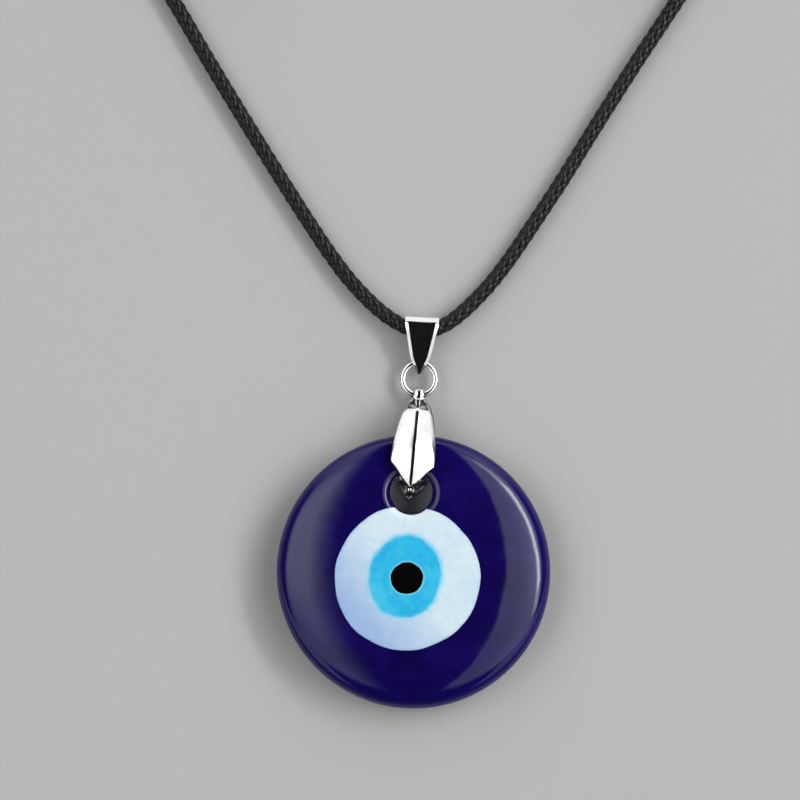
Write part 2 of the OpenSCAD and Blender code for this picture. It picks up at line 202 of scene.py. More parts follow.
def ramp(nt, source, stops, ease="LINEAR"):
    r = nt.nodes.new("ShaderNodeValToRGB")
    r.color_ramp.interpolation = ease
    while len(r.color_ramp.elements) < len(stops):
        r.color_ramp.elements.new(0.5)
    for e, (at, col) in zip(r.color_ramp.elements, stops):
        e.position = at
        e.color = (*col, 1) if len(col) == 3 else col
    link(nt, source, r.inputs[0])
    return r.outputs[0]


def spread(nt, source, a, b, c, d):
    r = node(nt, "ShaderNodeMapRange")
    r.inputs[1].default_value, r.inputs[2].default_value = a, b
    r.inputs[3].default_value, r.inputs[4].default_value = c, d
    link(nt, source, r.inputs[0])
    return r.outputs[0]


def mix(nt, factor, a, b, how="MIX"):
    m = nt.nodes.new("ShaderNodeMix")
    m.data_type = "RGBA"
    m.blend_type = how
    for sock, v in ((m.inputs[0], factor), (m.inputs[6], a), (m.inputs[7], b)):
        if isinstance(v, bpy.types.NodeSocket):
            link(nt, v, sock)
        elif isinstance(v, (int, float)):
            sock.default_value = v
        else:
            sock.default_value = (*v, 1)
    return m.outputs[2]


def math_node(nt, op, a, b=None):
    m = nt.nodes.new("ShaderNodeMath")
    m.operation = op
    for sock, v in ((m.inputs[0], a), (m.inputs[1], b)):
        if v is None:
            continue
        if isinstance(v, bpy.types.NodeSocket):
            link(nt, v, sock)
        else:
            sock.default_value = v
    return m.outputs[0]


def coords(nt, scale=(1, 1, 1), rotation=(0, 0, 0), location=(0, 0, 0)):
    """The row frame's coordinates in mm."""
    tc = node(nt, "ShaderNodeTexCoord")
    mp = node(nt, "ShaderNodeMapping")
    mp.inputs["Scale"].default_value = [1000 * s for s in scale]
    mp.inputs["Rotation"].default_value = rotation
    mp.inputs["Location"].default_value = location
    link(nt, tc.outputs["Object"], mp.inputs["Vector"])
    return mp.outputs[0]


def noise_node(nt, vec, scale, detail=3.0, rough=0.55, distort=0.0):
    n = node(nt, "ShaderNodeTexNoise", Scale=scale, Detail=detail, Roughness=rough, Distortion=distort)
    link(nt, vec, n.inputs["Vector"])
    return n


def bump(nt, p, height, strength, distance, normal=None):
    b = node(nt, "ShaderNodeBump", Strength=strength, Distance=distance)
    link(nt, height, b.inputs["Height"])
    if normal is not None:
        link(nt, normal, b.inputs["Normal"])
    link(nt, b.outputs[0], p.inputs["Normal"])
    return b.outputs[0]


def glass_blue():
    m, nt, p = material("cobalt_glass")
    v = coords(nt)
    flow = noise_node(nt, coords(nt, (0.10, 0.22, 0.3), (0, 0, 0.5)), 1.0, 4, 0.55, 1.2)
    fine = noise_node(nt, v, 0.9, 5, 0.6, 0.6)
    base = ramp(nt, flow.outputs[0], [(0.28, (0.0042, 0.0016, 0.050)), (0.52, (0.0056, 0.0020, 0.074)), (0.74, (0.0085, 0.0036, 0.105))])
    # thin glass at the rim lets more light through, so it is a clearer blue
    sep = node(nt, "ShaderNodeSeparateXYZ")
    link(nt, v, sep.inputs[0])
    r2 = math_node(nt, "ADD", math_node(nt, "POWER", sep.outputs[0], 2.0), math_node(nt, "POWER", sep.outputs[1], 2.0))
    rim = spread(nt, math_node(nt, "SQRT", r2), 11.0, 15.0, 0.0, 1.0)
    col = mix(nt, math_node(nt, "MULTIPLY", rim, 0.55), base, (0.0062, 0.0026, 0.115))
    streak = ramp(nt, noise_node(nt, coords(nt, (0.06, 0.5, 0.5), (0, 0, 1.1)), 1.0, 6, 0.6, 2.0).outputs[0], [(0.50, (0, 0, 0)), (0.66, (1, 1, 1))])
    col = mix(nt, math_node(nt, "MULTIPLY", streak, 0.14), col, (0.016, 0.010, 0.15))
    # a few seeds, the tiny bubbles of such glass
    vor = node(nt, "ShaderNodeTexVoronoi", Scale=0.55, Randomness=1.0)
    link(nt, v, vor.inputs["Vector"])
    seeds = ramp(nt, vor.outputs["Distance"], [(0.0, (1, 1, 1)), (0.035, (0.4, 0.4, 0.4)), (0.06, (0, 0, 0))])
    col = mix(nt, math_node(nt, "MULTIPLY", seeds, 0.35), col, (0.10, 0.10, 0.35))
    link(nt, col, p.inputs["Base Color"])
    p.inputs["IOR"].default_value = 1.45
    link(nt, spread(nt, fine.outputs[0], 0.3, 0.75, 0.045, 0.10), p.inputs["Roughness"])
    bump(nt, p, noise_node(nt, v, 0.28, 2, 0.5).outputs[0], 0.25, 0.0001)
    return m


def eye_glass(name, shades, blotch, tint):
    """Opaque coloured glass with cloudy shades. The attribute edge is 0 in the middle and 1 where the next colour has bled in."""
    m, nt, p = material(name)
    v = coords(nt)
    cloud = noise_node(nt, v, 0.42, 4, 0.6, 0.8)
    base = ramp(nt, cloud.outputs[0], shades)
    small = noise_node(nt, v, 1.6, 5, 0.62, 0.4)
    base = mix(nt, math_node(nt, "MULTIPLY", ramp(nt, small.outputs[0], [(0.52, (0, 0, 0)), (0.68, (1, 1, 1))]), blotch), base, tint)
    p.inputs["IOR"].default_value = 1.45
    link(nt, spread(nt, small.outputs[0], 0.3, 0.75, 0.06, 0.12), p.inputs["Roughness"])
    bump(nt, p, noise_node(nt, v, 0.28, 2, 0.5).outputs[0], 0.25, 0.0001)
    return m, nt, p, base, v


def attribute(nt, name):
    a = nt.nodes.new("ShaderNodeAttribute")
    a.attribute_name = name
    return a.outputs["Fac"]


def white_glass():
    m, nt, p, base, v = eye_glass("white_glass", [(0.25, (0.58, 0.74, 0.86)), (0.50, (0.66, 0.81, 0.89)), (0.78, (0.72, 0.85, 0.90))], 0.12, (0.52, 0.68, 0.82))
    wob = noise_node(nt, v, 1.5, 4, 0.6)
    # painted shade: the white turns darker and bluer towards the lower left, the side turned away from the key light
    sep = node(nt, "ShaderNodeSeparateXYZ")
    link(nt, v, sep.inputs[0])
    painted_shade_lean = math_node(nt, "ADD", math_node(nt, "MULTIPLY", sep.outputs[0], -0.075), math_node(nt, "MULTIPLY", sep.outputs[1], -0.062))
    painted_shade_lean = math_node(nt, "ADD", painted_shade_lean, spread(nt, wob.outputs[0], 0.3, 0.7, -0.06, 0.06))
    base = mix(nt, ramp(nt, painted_shade_lean, [(0.08, (0, 0, 0)), (0.75, (0.72, 0.72, 0.72))]), base, (0.26, 0.42, 0.78))
    outer = math_node(nt, "ADD", attribute(nt, "edge"), spread(nt, wob.outputs[0], 0.3, 0.7, -0.12, 0.12))
    col = mix(nt, ramp(nt, outer, [(0.70, (0, 0, 0)), (0.95, (0.35, 0.35, 0.35)), (1.0, (0.85, 0.85, 0.85))]), base, (0.24, 0.36, 0.66))
    inner = math_node(nt, "ADD", attribute(nt, "bleed"), spread(nt, wob.outputs[0], 0.3, 0.7, -0.2, 0.2))
    col = mix(nt, ramp(nt, inner, [(0.15, (0, 0, 0)), (0.60, (0.30, 0.30, 0.30)), (1.0, (1, 1, 1))]), col, (0.26, 0.66, 0.88))
    # painted highlight: the white is paler on the rounded mouth of the hole, within 1 mm of its edge
    col = mix(nt, ramp(nt, attribute(nt, "lip"), [(0.25, (0, 0, 0)), (0.8, (0.8, 0.8, 0.8))]), col, (0.84, 0.92, 0.95))
    link(nt, col, p.inputs["Base Color"])
    return m


def pale_blue_glass():
    m, nt, p, base, v = eye_glass("pale_blue_glass", [(0.30, (0.022, 0.42, 0.76)), (0.52, (0.035, 0.50, 0.82)), (0.74, (0.085, 0.60, 0.85))], 0.3, (0.10, 0.62, 0.85))
    wob = noise_node(nt, v, 1.9, 4, 0.6)
    outer = math_node(nt, "ADD", attribute(nt, "edge"), spread(nt, wob.outputs[0], 0.3, 0.7, -0.12, 0.12))
    col = mix(nt, ramp(nt, outer, [(0.55, (0, 0, 0)), (0.80, (0.35, 0.35, 0.35)), (1.0, (1, 1, 1))]), base, (0.26, 0.66, 0.88))
    halo = math_node(nt, "ADD", attribute(nt, "bleed"), spread(nt, wob.outputs[0], 0.3, 0.7, -0.15, 0.15))
    col = mix(nt, ramp(nt, halo, [(0.45, (0, 0, 0)), (0.80, (0.6, 0.6, 0.6)), (1.0, (0.6, 0.6, 0.6))]), col, (0.24, 0.66, 0.86))
    link(nt, col, p.inputs["Base Color"])
    return m


def black_glass():
    m, nt, p = material("black_glass")
    v = coords(nt)
    n = noise_node(nt, v, 1.2, 4, 0.6)
    edge = math_node(nt, "ADD", attribute(nt, "edge"), spread(nt, n.outputs[0], 0.3, 0.7, -0.1, 0.1))
    col = mix(nt, ramp(nt, edge, [(0.80, (0, 0, 0)), (1.0, (1, 1, 1))]), (0.0022, 0.0022, 0.0026), (0.006, 0.016, 0.045))
    link(nt, col, p.inputs["Base Color"])
    p.inputs["IOR"].default_value = 1.45
    link(nt, spread(nt, n.outputs[0], 0.3, 0.7, 0.05, 0.1), p.inputs["Roughness"])
    return m


def silver(name, tint=(0.93, 0.925, 0.91), rough=(0.05, 0.13), scratch=0.25):
    m, nt, p = material(name)
    v = coords(nt)
    tone = noise_node(nt, v, 1.1, 4, 0.6)
    link(nt, ramp(nt, tone.outputs[0], [(0.25, tuple(0.93 * c for c in tint)), (0.7, tint)]), p.inputs["Base Color"])
    p.inputs["Metallic"].default_value = 1.0
    fine = noise_node(nt, coords(nt, (1, 1, 1), (0.2, 0.1, 0.6)), 3.0, 6, 0.65)
    link(nt, spread(nt, fine.outputs[0], 0.3, 0.75, rough[0], rough[1]), p.inputs["Roughness"])
    # fine drawn lines of the polishing, and small dents
    lines = noise_node(nt, coords(nt, (22, 1.2, 3), (0, 0, 0.35)), 1.0, 3, 0.5)
    b = bump(nt, p, lines.outputs[0], scratch * 0.12, 0.00002)
    bump(nt, p, noise_node(nt, v, 0.9, 2, 0.5).outputs[0], 0.18, 0.00005, b)
    return m


def waxed_cord():
    m, nt, p = material("waxed_cord")
    a = nt.nodes.new("ShaderNodeAttribute")
    a.attribute_name = "strand"
    mp = node(nt, "ShaderNodeMapping")
    mp.inputs["Scale"].default_value = (1.0, 1.0, 1.0)
    link(nt, a.outputs["Vector"], mp.inputs["Vector"])
    sep = node(nt, "ShaderNodeSeparateXYZ")
    link(nt, mp.outputs[0], sep.inputs[0])
    # yarns lie side by side along each strand
    comb = node(nt, "ShaderNodeCombineXYZ")
    link(nt, math_node(nt, "MULTIPLY", sep.outputs[0], 0.8), comb.inputs[0])
    link(nt, math_node(nt, "MULTIPLY", sep.outputs[1], 26.0), comb.inputs[1])
    link(nt, sep.outputs[2], comb.inputs[2])
    yarn = noise_node(nt, comb.outputs[0], 1.0, 3, 0.6)
    wax = noise_node(nt, coords(nt), 0.9, 4, 0.6)
    col = ramp(nt, yarn.outputs[0], [(0.3, (0.0030, 0.0030, 0.0030)), (0.7, (0.0085, 0.0085, 0.0083))])
    col = mix(nt, math_node(nt, "MULTIPLY", ramp(nt, wax.outputs[0], [(0.55, (0, 0, 0)), (0.75, (1, 1, 1))]), 0.5), col, (0.012, 0.012, 0.0117))
    link(nt, col, p.inputs["Base Color"])
    link(nt, spread(nt, wax.outputs[0], 0.3, 0.7, 0.26, 0.38), p.inputs["Roughness"])
    p.inputs["Specular IOR Level"].default_value = 0.32
    p.inputs["Sheen Weight"].default_value = 0.015
    p.inputs["Sheen Roughness"].default_value = 0.4
    bump(nt, p, yarn.outputs[0], 0.4, 0.00002)
    return m


def cord_core():
    m, nt, p = material("cord_core")
    n = noise_node(nt, coords(nt), 3.0, 3, 0.6)
    link(nt, ramp(nt, n.outputs[0], [(0.3, (0.003, 0.003, 0.003)), (0.7, (0.007, 0.007, 0.007))]), p.inputs["Base Color"])
    link(nt, spread(nt, n.outputs[0], 0.3, 0.7, 0.6, 0.8), p.inputs["Roughness"])
    return m


BLUE, WHITE, PALE, BLACK = glass_blue(), white_glass(), pale_blue_glass(), black_glass()
SILVER = silver("silver_plate")
STEEL = silver("spring_steel", (0.62, 0.62, 0.63), (0.16, 0.3), 0.5)
CORD, CORE = waxed_cord(), cord_core()


# ---------------------------------------------------------------- the cord
def coil_points(centre, mirrored):
    """A neat coil, from where the run enters it to where the tail leaves at its top. Two turns side by side, then the rest on top."""
    knots = [(0, 10.5, 0.87), (20, 10.6, 0.87), (282, 10.6, 0.87), (344, 8.87, 0.87), (590, 8.87, 0.87), (604, 8.9, 1.32), (618, 9.12, 1.82),
             (630, 9.38, 2.14), (642, 9.6, 2.42), (655, 9.73, 2.6), (705, 9.73, 2.6), (724, 9.73, 2.42), (800, 9.73, 2.40), (842, 9.64, 2.5)]
    k = np.array(knots, float)
    p = np.arange(0, 842.01, 1.5)
    r, z = np.interp(p, k[:, 0], k[:, 1]), np.interp(p, k[:, 0], k[:, 2])
    for _ in range(18):
        r[1:-1] = 0.25 * r[:-2] + 0.5 * r[1:-1] + 0.25 * r[2:]
        z[1:-1] = 0.25 * z[:-2] + 0.5 * z[1:-1] + 0.25 * z[2:]
    a = np.radians(-32 + p) if mirrored else np.radians(212 - p)
    return np.stack([centre[0] + r * np.cos(a), centre[1] + r * np.sin(a), z], 1)


def cord_line():
    left, right = coil_points(COIL_L, False), coil_points(COIL_R, True)
    head = [(-6.9, 87.5, 1.45), (-9.2, 87.5, 1.45)] + TAIL_L[:0:-1]
    tail = TAIL_R[1:] + [(8.0, 92.9, 1.45), (5.7, 92.9, 1.45)]
    pts = [tuple(p) for p in head] + [tuple(p) for p in left[::-1][::8]] + [tuple(p) for p in ROUTE] + [tuple(p) for p in right[::8]] + [tuple(p) for p in tail]
    line = resample(catmull(pts, 0.15), 0.15)
    return resample(smooth_line(line, 30), 0.15)


def moved_frame(line):
    t = np.gradient(line, axis=0)
    t /= np.linalg.norm(t, axis=1)[:, None]
    n = np.zeros_like(t)
    v = np.cross(t[0], [0, 0, 1.0])
    n[0] = v / np.linalg.norm(v)
    for i in range(1, len(t)):
        v = n[i - 1] - np.dot(n[i - 1], t[i]) * t[i]
        n[i] = v / np.linalg.norm(v)
    return t, n, np.cross(t, n)


def make_cord():
    line = cord_line()
    t, n, b = moved_frame(line)
    step = 0.15
    s = np.arange(len(line)) * step
    lead, m = 4.8, 4
    thick, wave, wide = 0.15, 0.065, 0.80
    mean = CORD_D / 2 - wave - thick / 2
    w = 2 * math.pi / lead
    sides = 8
    verts, faces, strand = [], [], []
    for way in (1, -1):
        for j in range(m):
            a = way * w * s + 2 * math.pi * j / m
            rho = mean + way * wave * np.cos(m * w * s)
            er = np.cos(a)[:, None] * n + np.sin(a)[:, None] * b
            mid = line + rho[:, None] * er
            tt = np.gradient(mid, axis=0)
            tt /= np.linalg.norm(tt, axis=1)[:, None]
            out = er - (er * tt).sum(1)[:, None] * tt
            out /= np.linalg.norm(out, axis=1)[:, None]
            across = np.cross(tt, out)
            start = sum(len(v) for v in verts)
            ring = []
            for k in range(sides):
                f = 2 * math.pi * (k + 0.5) / sides
                c, q = math.cos(f), math.sin(f)
                # a flattened oval that bends round the cord
                side = wide / 2 * c
                up = thick / 2 * q - 0.062 * c * c
                ring.append(mid + side * across + up * out)
            pts = np.stack(ring, 1).reshape(-1, 3)
            verts.append(pts)
            code = np.zeros((len(line), sides, 3))
            code[:, :, 0] = s[:, None]
            code[:, :, 1] = (np.arange(sides) + 0.5)[None, :] / sides
            code[:, :, 2] = j + (0 if way > 0 else 10)
            strand.append(code.reshape(-1, 3))
            faces += grid_faces(len(line), sides, False, True, start)
            faces.append(tuple(start + k for k in range(sides)))
            faces.append(tuple(start + (len(line) - 1) * sides + k for k in range(sides))[::-1])
    verts = np.vstack(verts)
    ob = piece("braided_cord", verts, faces, "necklace", CORD)
    put_attribute(ob, "strand", np.vstack(strand), "FLOAT_VECTOR")
    outward(ob)
    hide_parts("cord_run", "cord_coil_left", "cord_coil_right", "cord_tail_left", "cord_tail_right")
    # the core that the braid closes round
    few = line[::3]
    tc, nc, bc = t[::3], n[::3], b[::3]
    ring = []
    for k in range(10):
        f = 2 * math.pi * k / 10
        ring.append(few + 0.60 * (math.cos(f) * nc + math.sin(f) * bc))
    cv = np.stack(ring, 1).reshape(-1, 3)
    cf = grid_faces(len(few), 10, False, True)
    cf.append(tuple(range(10)))
    cf.append(tuple((len(few) - 1) * 10 + k for k in range(10))[::-1])
    core = piece("cord_core", cv, cf, "necklace", CORE)
    outward(core)
    return ob, core, line


cord, core, LINE = make_cord()


# ---------------------------------------------------------------- the glass
def dome_z(r):
    return EQUATOR + (DISC_T - EQUATOR) * np.maximum(0, 1 - (r / DISC_R) ** 2.4) ** (1 / 2.4)


def back_z(r):
    x = np.clip((r - FLAT_R) / (DISC_R - FLAT_R), 0, 1)
    return EQUATOR * (1 - (1 - x) ** 0.6)


def mouth_drop(x, y):
    """How far the rounded mouth of the hole lies below the glass round it."""
    d = np.hypot(x - HOLE[0], y - HOLE[1]) - HOLE_R
    k = np.clip(1 - d / MOUTH_W, 0, 1)
    return MOUTH * (1 - np.sqrt(np.maximum(0, 1 - k**2)))


def top_z(x, y):
    return dome_z(np.hypot(x, y)) - mouth_drop(x, y)


def make_disc():
    rays, top_n, back_n, wall_n = 288, 96, 64, 12
    a = np.linspace(0, 2 * math.pi, rays, endpoint=False)
    ux, uy = np.cos(a), np.sin(a)
    hb = HOLE[0] * ux + HOLE[1] * uy
    reach = -hb + np.sqrt(hb**2 + DISC_R**2 - (HOLE**2).sum())
    rows = []
    ft = 0.5 * (1 - np.cos(np.linspace(0, math.pi, top_n)))
    for f in ft:
        rho = HOLE_R + (reach - HOLE_R) * f
        x, y = HOLE[0] + rho * ux, HOLE[1] + rho * uy
        r = np.minimum(np.hypot(x, y), DISC_R)
        rows.append(np.stack([x, y, dome_z(r) - mouth_drop(x, y)], 1))
    fb = 0.5 * (1 - np.cos(np.linspace(math.pi, 0, back_n)))[1:]
    for f in fb:
        rho = HOLE_R + (reach - HOLE_R) * f
        x, y = HOLE[0] + rho * ux, HOLE[1] + rho * uy
        r = np.minimum(np.hypot(x, y), DISC_R)
        rows.append(np.stack([x, y, back_z(r) + mouth_drop(x, y)], 1))
    first, last = rows[0], rows[-1]
    for k in range(1, wall_n):
        rows.append(last + (first - last) * k / wall_n)
    pts = np.stack(rows, 1)
    faces = grid_faces(rays, len(rows), True, True)
    ob = piece("glass_body", pts.reshape(-1, 3), faces, "disc", BLUE)
    outward(ob)
    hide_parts("glass_disc")
    return ob


def drop(name, node_name, centre, radius, rise, deep, mat, attributes, rings=44, rays=192):
    """A flat drop of coloured glass that follows the dome, fused in so that only its face shows. radius(angle) is its outline."""
    a = np.linspace(0, 2 * math.pi, rays, endpoint=False)
    out = np.array([radius(x) for x in a])
    # keep clear of the hole's wall
    for i, x in enumerate(a):
        u = np.array([math.cos(x), math.sin(x)])
        d = HOLE - centre
        along = d @ u
        off = abs(d[0] * u[1] - d[1] * u[0])
        near = HOLE_R + 0.12
        if along > 0 and off < near:
            out[i] = min(out[i], along - math.sqrt(near**2 - off**2))
    f = np.linspace(0, 1, rings + 1)[1:] ** 0.9
    verts, at = [], []
    x0, y0 = centre
    verts.append((x0, y0, float(top_z(np.array(x0), np.array(y0))) + rise))
    at.append((0.0, 0.0, 0.0))
    for k in f:
        x, y = x0 + out * k * np.cos(a), y0 + out * k * np.sin(a)
        z = top_z(x, y) + rise
        if k > 0.999:
            z = z - rise * 1.5
        for i in range(rays):
            verts.append((x[i], y[i], z[i]))
            at.append((k, a[i], out[i]))
    faces = [(0, 1 + i, 1 + (i + 1) % rays) for i in range(rays)]
    for k in range(rings - 1):
        s0, s1 = 1 + k * rays, 1 + (k + 1) * rays
        faces += [(s0 + i, s1 + i, s1 + (i + 1) % rays, s0 + (i + 1) % rays) for i in range(rays)]
    # underside, a shallow bowl
    base = len(verts)
    under = 8
    for k in range(1, under):
        g = 1 - k / under
        x, y = x0 + out * g * np.cos(a), y0 + out * g * np.sin(a)
        z = top_z(x, y) - deep * (1 - g**2) ** 0.5 - 0.01
        for i in range(rays):
            verts.append((x[i], y[i], z[i]))
            at.append((g, a[i], out[i]))
    verts.append((x0, y0, float(top_z(np.array(x0), np.array(y0))) - deep))
    at.append((0.0, 0.0, 0.0))
    ring = 1 + (rings - 1) * rays
    for k in range(under - 1):
        s0 = ring if k == 0 else base + (k - 1) * rays
        s1 = base + k * rays
        faces += [(s0 + i, s1 + i, s1 + (i + 1) % rays, s0 + (i + 1) % rays) for i in range(rays)]
    s0, c = base + (under - 2) * rays, len(verts) - 1
    faces += [(s0 + i, c, s0 + (i + 1) % rays) for i in range(rays)]
    ob = piece(name, verts, faces, "disc", mat)
    outward(ob)
    v = np.array(verts)
    for key, fn in attributes.items():
        put_attribute(ob, key, fn(v[:, 0], v[:, 1]))
    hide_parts(node_name)
    return ob


WHITE_C, IRIS_C, PUPIL_C = np.array([-0.70, -0.60]), np.array([-0.82, -0.26]), np.array([-0.73, -0.57])


def white_r(a):
    return 7.95 + 0.05 * math.sin(2 * a + 0.6) + 0.045 * math.sin(3 * a + 2.0) + 0.03 * math.sin(7 * a) + 0.02 * math.sin(13 * a + 1)


def iris_r(a):
    r = 4.28 + 0.31 * math.cos(2 * (a + math.radians(103))) + 0.19 * math.cos(a + math.radians(132))
    return r + 0.05 * math.sin(5 * a + 0.4) + 0.035 * math.sin(9 * a + 2.2) + 0.02 * math.sin(17 * a + 1.1)


def pupil_r(a):
    return 1.80 + 0.03 * math.sin(2 * a + 1.0) + 0.02 * math.sin(5 * a) + 0.012 * math.sin(11 * a)


def away(centre, radius):
    """Distance of points from an outline, in mm, positive outside."""
    def f(x, y):
        a, d = np.arctan2(y - centre[1], x - centre[0]), np.hypot(x - centre[0], y - centre[1])
        return d - np.array([radius(t) for t in a])
    return f


disc = make_disc()
far_white, far_iris, far_pupil = away(WHITE_C, white_r), away(IRIS_C, iris_r), away(PUPIL_C, pupil_r)
white = drop("white_drop", "eye_white", WHITE_C, white_r, 0.012, 0.5, WHITE, {
    "edge": lambda x, y: np.clip(1 + far_white(x, y) / 1.1, 0, 1),
    "bleed": lambda x, y: np.clip(1 - far_iris(x, y) / 0.55, 0, 1),
    # lip marks the painted highlight on the hole's rounded mouth
    "lip": lambda x, y: np.clip(1 - (np.hypot(x - HOLE[0], y - HOLE[1]) - HOLE_R) / 1.0, 0, 1)}, 72, 256)
iris = drop("iris_drop", "eye_iris", IRIS_C, iris_r, 0.022, 0.35, PALE, {
    "edge": lambda x, y: np.clip(1 + far_iris(x, y) / 0.7, 0, 1),
    "bleed": lambda x, y: np.clip(1 - far_pupil(x, y) / 0.34, 0, 1)}, 48, 192)
pupil = drop("pupil_drop", "eye_pupil", PUPIL_C, pupil_r, 0.032, 0.25, BLACK, {
    "edge": lambda x, y: np.clip(1 + far_pupil(x, y) / 0.3, 0, 1)}, 28, 128)


# ---------------------------------------------------------------- the pinch clip
def to_clip(p):
    c, s = math.cos(CLIP_LEAN), math.sin(CLIP_LEAN)
    p = np.asarray(p, float)
    return np.stack([CLIP[0] + c * p[:, 0] - s * p[:, 1], CLIP[1] + s * p[:, 0] + c * p[:, 1], CLIP[2] + p[:, 2]], 1)


NECK_IN, NECK_T = 0.58, 0.30
NECK_R = NECK_IN + NECK_T
FRONT = [(0.0, NECK_R), (0.35, 1.05), (0.75, 1.45), (1.15, 1.9), (1.6, 2.36), (2.2, 2.76), (2.9, 3.22), (4.5, 4.26), (6.0, 4.97), (7.6, 5.3), (9.0, 5.13), (10.02, 4.85)]
REAR = [(0.0, -NECK_R), (0.8, -0.93), (1.6, -0.98), (3.4, -1.12), (5.4, -1.14), (7.4, -1.14), (9.2, -1.14), (10.6, -1.1), (11.6, -0.98)]


def leaf_half(v, length, side):
    """Half the leaf's width, v mm below the ring's wire. side is -1 on the left and 1 on the right."""
    k = length / 10.0
    corner = (7.35 if side < 0 else 7.65) * k
    xs = np.array([0, 0.30, 0.60, 0.85, 1.15, 2.1, 2.9, 4.15, 5.4, 6.5, 7.0]) * k
    ys = np.array([0.54, 0.60, 0.93, 1.19, 1.35, 1.72, 1.92, 2.17, 2.31, 2.39, 2.41])
    xs, ys = np.append(xs, corner), np.append(ys, 2.37)
    if v <= corner:
        fine = np.linspace(0, corner, 80)
        half = np.interp(fine, xs, ys)
        for _ in range(12):
            half[1:-1] = 0.25 * half[:-2] + 0.5 * half[1:-1] + 0.25 * half[2:]
        return float(np.interp(v, fine, half))
    t = (v - corner) / (length - corner)
    return 2.37 * (1 - t) + 0.05 * t + 0.10 * math.sin(math.pi * t)


def leaf_piece(crest, side, length, ridge, name):
    """One leaf of the folded strip with a crowned roof-shaped face and a narrow flat along its ridge."""
    line = catmull([(0, -v, z) for v, z in crest], 0.11)
    line = resample(line, 0.12)
    n = len(line)
    across = 15
    top, low = [], []
    for i in range(n):
        v = -line[i][1]
        t = line[min(n - 1, i + 1)] - line[max(0, i - 1)]
        t /= np.linalg.norm(t)
        o = np.cross([1, 0, 0], t)
        o /= np.linalg.norm(o)
        if o[2] * side < 0:
            o = -o
        grow = min(1.0, max(0.0, (v - 0.1) / 1.5))
        grow = grow * grow * (3 - 2 * grow)
        h = ridge * grow
        sheet = 0.30 - 0.06 * grow
        for k in range(across):
            x = -1 + 2 * k / (across - 1)
            w = leaf_half(v, length, x)
            if side < 0 and x > 0:
                w += 0.13 * math.sin(math.pi * min(1.0, max(0.0, (v - 0.2) / 5.0))) ** 0.7
            # stations close to the ridge keep its flat narrow
            g = int(round(abs(x) * 7))
            flat = min(0.14, 0.30 * w)
            place = [0, 0, 0, 0.28, 0.52, 0.76, 0.95, 1.0][g]
            if g < 3:
                xx = math.copysign((0, flat, flat + 0.045)[g], x)
            else:
                xx = math.copysign(flat + 0.05 + (w - flat - 0.05) * place, x)
            # plane facets, a little fuller towards the edge
            q = max(0.0, abs(xx) - flat - 0.02)
            fall = h * (0.272 * q + 0.010 * q * q)
            edge = (0.05 if g == 7 else 0.0) * grow + 0.17 * (1 - grow) * (xx / w) ** 2
            top.append(line[i] + np.array([xx, 0, 0]) - o * (fall + edge))
            low.append(line[i] + np.array([xx, 0, 0]) - o * (fall * 0.92 + sheet))
    return np.array(top), np.array(low), n, across


def make_clip():
    parts = []
    for crest, side, length, ridge in ((FRONT, 1, 10.02, 1.0), (REAR, -1, 11.6, 0.42)):
        parts.append(leaf_piece(crest, side, length, ridge, ""))
    (t1, l1, n1, m), (t2, l2, n2, _) = parts
    # neck: an arc from the front leaf's start to the rear leaf's start
    arc = 22
    xs = t1[:m, 0] - t1[m // 2, 0]
    ot, il = [], []
    for k in range(1, arc):
        a = math.pi / 2 - math.pi * k / arc
        for x in xs:
            r = abs(x) / 0.54
            ot.append((x, (NECK_R - 0.17 * r * r) * math.cos(a), (NECK_R - 0.17 * r * r) * math.sin(a)))
            il.append((x, NECK_IN * math.cos(a), NECK_IN * math.sin(a)))
    # rows from the front tip, over the neck, to the rear tip
    top = np.vstack([t1.reshape(n1, m, 3)[::-1].reshape(-1, 3), np.array(ot), t2])
    low = np.vstack([l1.reshape(n1, m, 3)[::-1].reshape(-1, 3), np.array(il), l2])
    rows = n1 + arc - 1 + n2
    loop = np.concatenate([top.reshape(rows, m, 3), low.reshape(rows, m, 3)[:, ::-1]], 1)
    wide = 2 * m
    verts = to_clip(loop.reshape(-1, 3))
    faces = grid_faces(rows, wide, False, True)
    faces.append(tuple(range(wide)))
    faces.append(tuple((rows - 1) * wide + k for k in range(wide))[::-1])
    ob = piece("leaf_clip", verts, faces, "clip", SILVER)
    outward(ob)
    # only the sheet's own edges stay crisp
    ob.data.set_sharp_from_angle(angle=math.radians(38))
    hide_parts("pinch_clip")
    return ob


clip = make_clip()


def make_peg(node_name, name, v, z0, z1, turn):
    """A short round peg with a domed end, soldered inside a leaf. turn is 1 when the dome is on top."""
    c, r, dome = np.array([0.0, -v, 0.0]), 0.38, 0.26
    length = z1 - z0 - dome
    rows = [(r * 0.98, 0.0), (r, 0.03), (r, length * 0.33), (r, length * 0.66), (r, length)]
    rows += [(r * math.cos(a), length + dome * math.sin(a)) for a in np.linspace(0, math.pi / 2, 9)[1:-1]]
    n = 40
    verts = []
    for rr, h in rows:
        z = z0 + h if turn > 0 else z1 - h
        verts += [(c[0] + rr * math.cos(2 * math.pi * k / n), c[1] + rr * math.sin(2 * math.pi * k / n), z) for k in range(n)]
    faces = grid_faces(len(rows), n, False, True)
    faces.append(tuple(range(n))[::-1])
    top = len(verts)
    verts.append((c[0], c[1], z1 if turn > 0 else z0))
    faces += [((len(rows) - 1) * n + k, (len(rows) - 1) * n + (k + 1) % n, top) for k in range(n)]
    ob = piece(name, to_clip(verts), faces, "clip", SILVER)
    outward(ob)
    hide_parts(node_name)
    return ob


make_peg("front_peg", "front_leaf_peg", 9.2, 2.2, 4.78, -1)
make_peg("rear_peg", "rear_leaf_peg", 10.4, -0.82, 1.46, 1)


